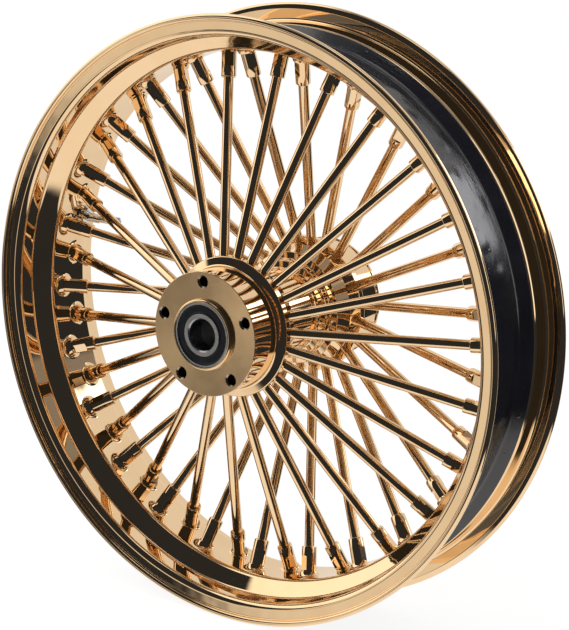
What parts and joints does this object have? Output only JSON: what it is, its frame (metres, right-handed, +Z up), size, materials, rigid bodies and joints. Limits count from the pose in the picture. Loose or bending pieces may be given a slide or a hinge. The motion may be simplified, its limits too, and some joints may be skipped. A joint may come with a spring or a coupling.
{
  "type": "spoked motorcycle wheel",
  "caption": "Gold motorcycle wheel: drop-centre rim, fat straight spokes that cross from both hub flanges, two brake disc faces and sealed axle bearings.",
  "frame": {"origin": "the wheel's centre: on the axle's line, midway between the two rim lips", "axes": "+Y along the axle to the left side, +Z up, +X forward"},
  "size_m": [0.4854, 0.1742, 0.4854],
  "materials": {
    "gold_rim": "gold-toned mirror chrome on a rolled steel rim",
    "gold_hub": "gold-toned, polished to a mirror, with satin machined disc faces",
    "gold_spoke": "gold-toned mirror chrome on steel",
    "gold_nipple": "gold-toned mirror chrome on steel",
    "band_rubber": "semi-gloss black sealing band",
    "seal_rubber": "moulded black rubber",
    "ground_steel": "ground bearing steel",
    "plain_steel": "plain turned steel",
    "valve_chrome": "bright chrome",
    "valve_brass": "plain brass"
  },
  "bodies": {
    "axle_clamped": {"bearing_right_inner_race": "ground_steel", "bearing_left_inner_race": "ground_steel", "spacer_tube": "plain_steel"},
    "wheel": {"rim": "gold_rim", "rim_band": "band_rubber", "hub": "gold_hub", "spokes_right": "gold_spoke", "spokes_left": "gold_spoke", "nipples_right": "gold_nipple", "nipples_left": "gold_nipple", "valve_stem": "valve_chrome", "valve_grommet": "seal_rubber", "valve_washer": "valve_chrome", "valve_nut": "valve_chrome", "valve_core": "valve_brass", "valve_cap": "valve_chrome", "bearing_right_outer_race": "ground_steel", "bearing_right_outer_seal": "seal_rubber", "bearing_right_inner_seal": "seal_rubber", "bearing_left_outer_race": "ground_steel", "bearing_left_outer_seal": "seal_rubber", "bearing_left_inner_seal": "seal_rubber"},
    "right_ball_ring": {"bearing_right_balls": "ground_steel", "bearing_right_cage": "plain_steel"},
    "left_ball_ring": {"bearing_left_balls": "ground_steel", "bearing_left_cage": "plain_steel"},
    "valve_pin": {"valve_pin": "valve_brass"}
  },
  "joints": [
    {"name": "wheel_spin", "type": "hinge", "parent": "axle_clamped", "child": "wheel", "pos_m": [0, 0, 0], "axis": [0, 1, 0], "continuous": true},
    {"name": "right_ball_orbit", "type": "hinge", "parent": "axle_clamped", "child": "right_ball_ring", "pos_m": [0, 0, 0], "axis": [0, 1, 0], "continuous": true},
    {"name": "left_ball_orbit", "type": "hinge", "parent": "axle_clamped", "child": "left_ball_ring", "pos_m": [0, 0, 0], "axis": [0, 1, 0], "continuous": true},
    {"name": "valve_pin_press", "type": "slide", "parent": "wheel", "child": "valve_pin", "axis": [-0.7399, -0.6428, 0.1983], "range_m": [0, 0.0012], "stiffness_N_per_m": 300, "springref_m": -0.002}
  ],
  "couplings": [
    {"joint": "right_ball_orbit", "follows": "wheel_spin", "ratio": 0.6031},
    {"joint": "left_ball_orbit", "follows": "wheel_spin", "ratio": 0.6031}
  ]
}
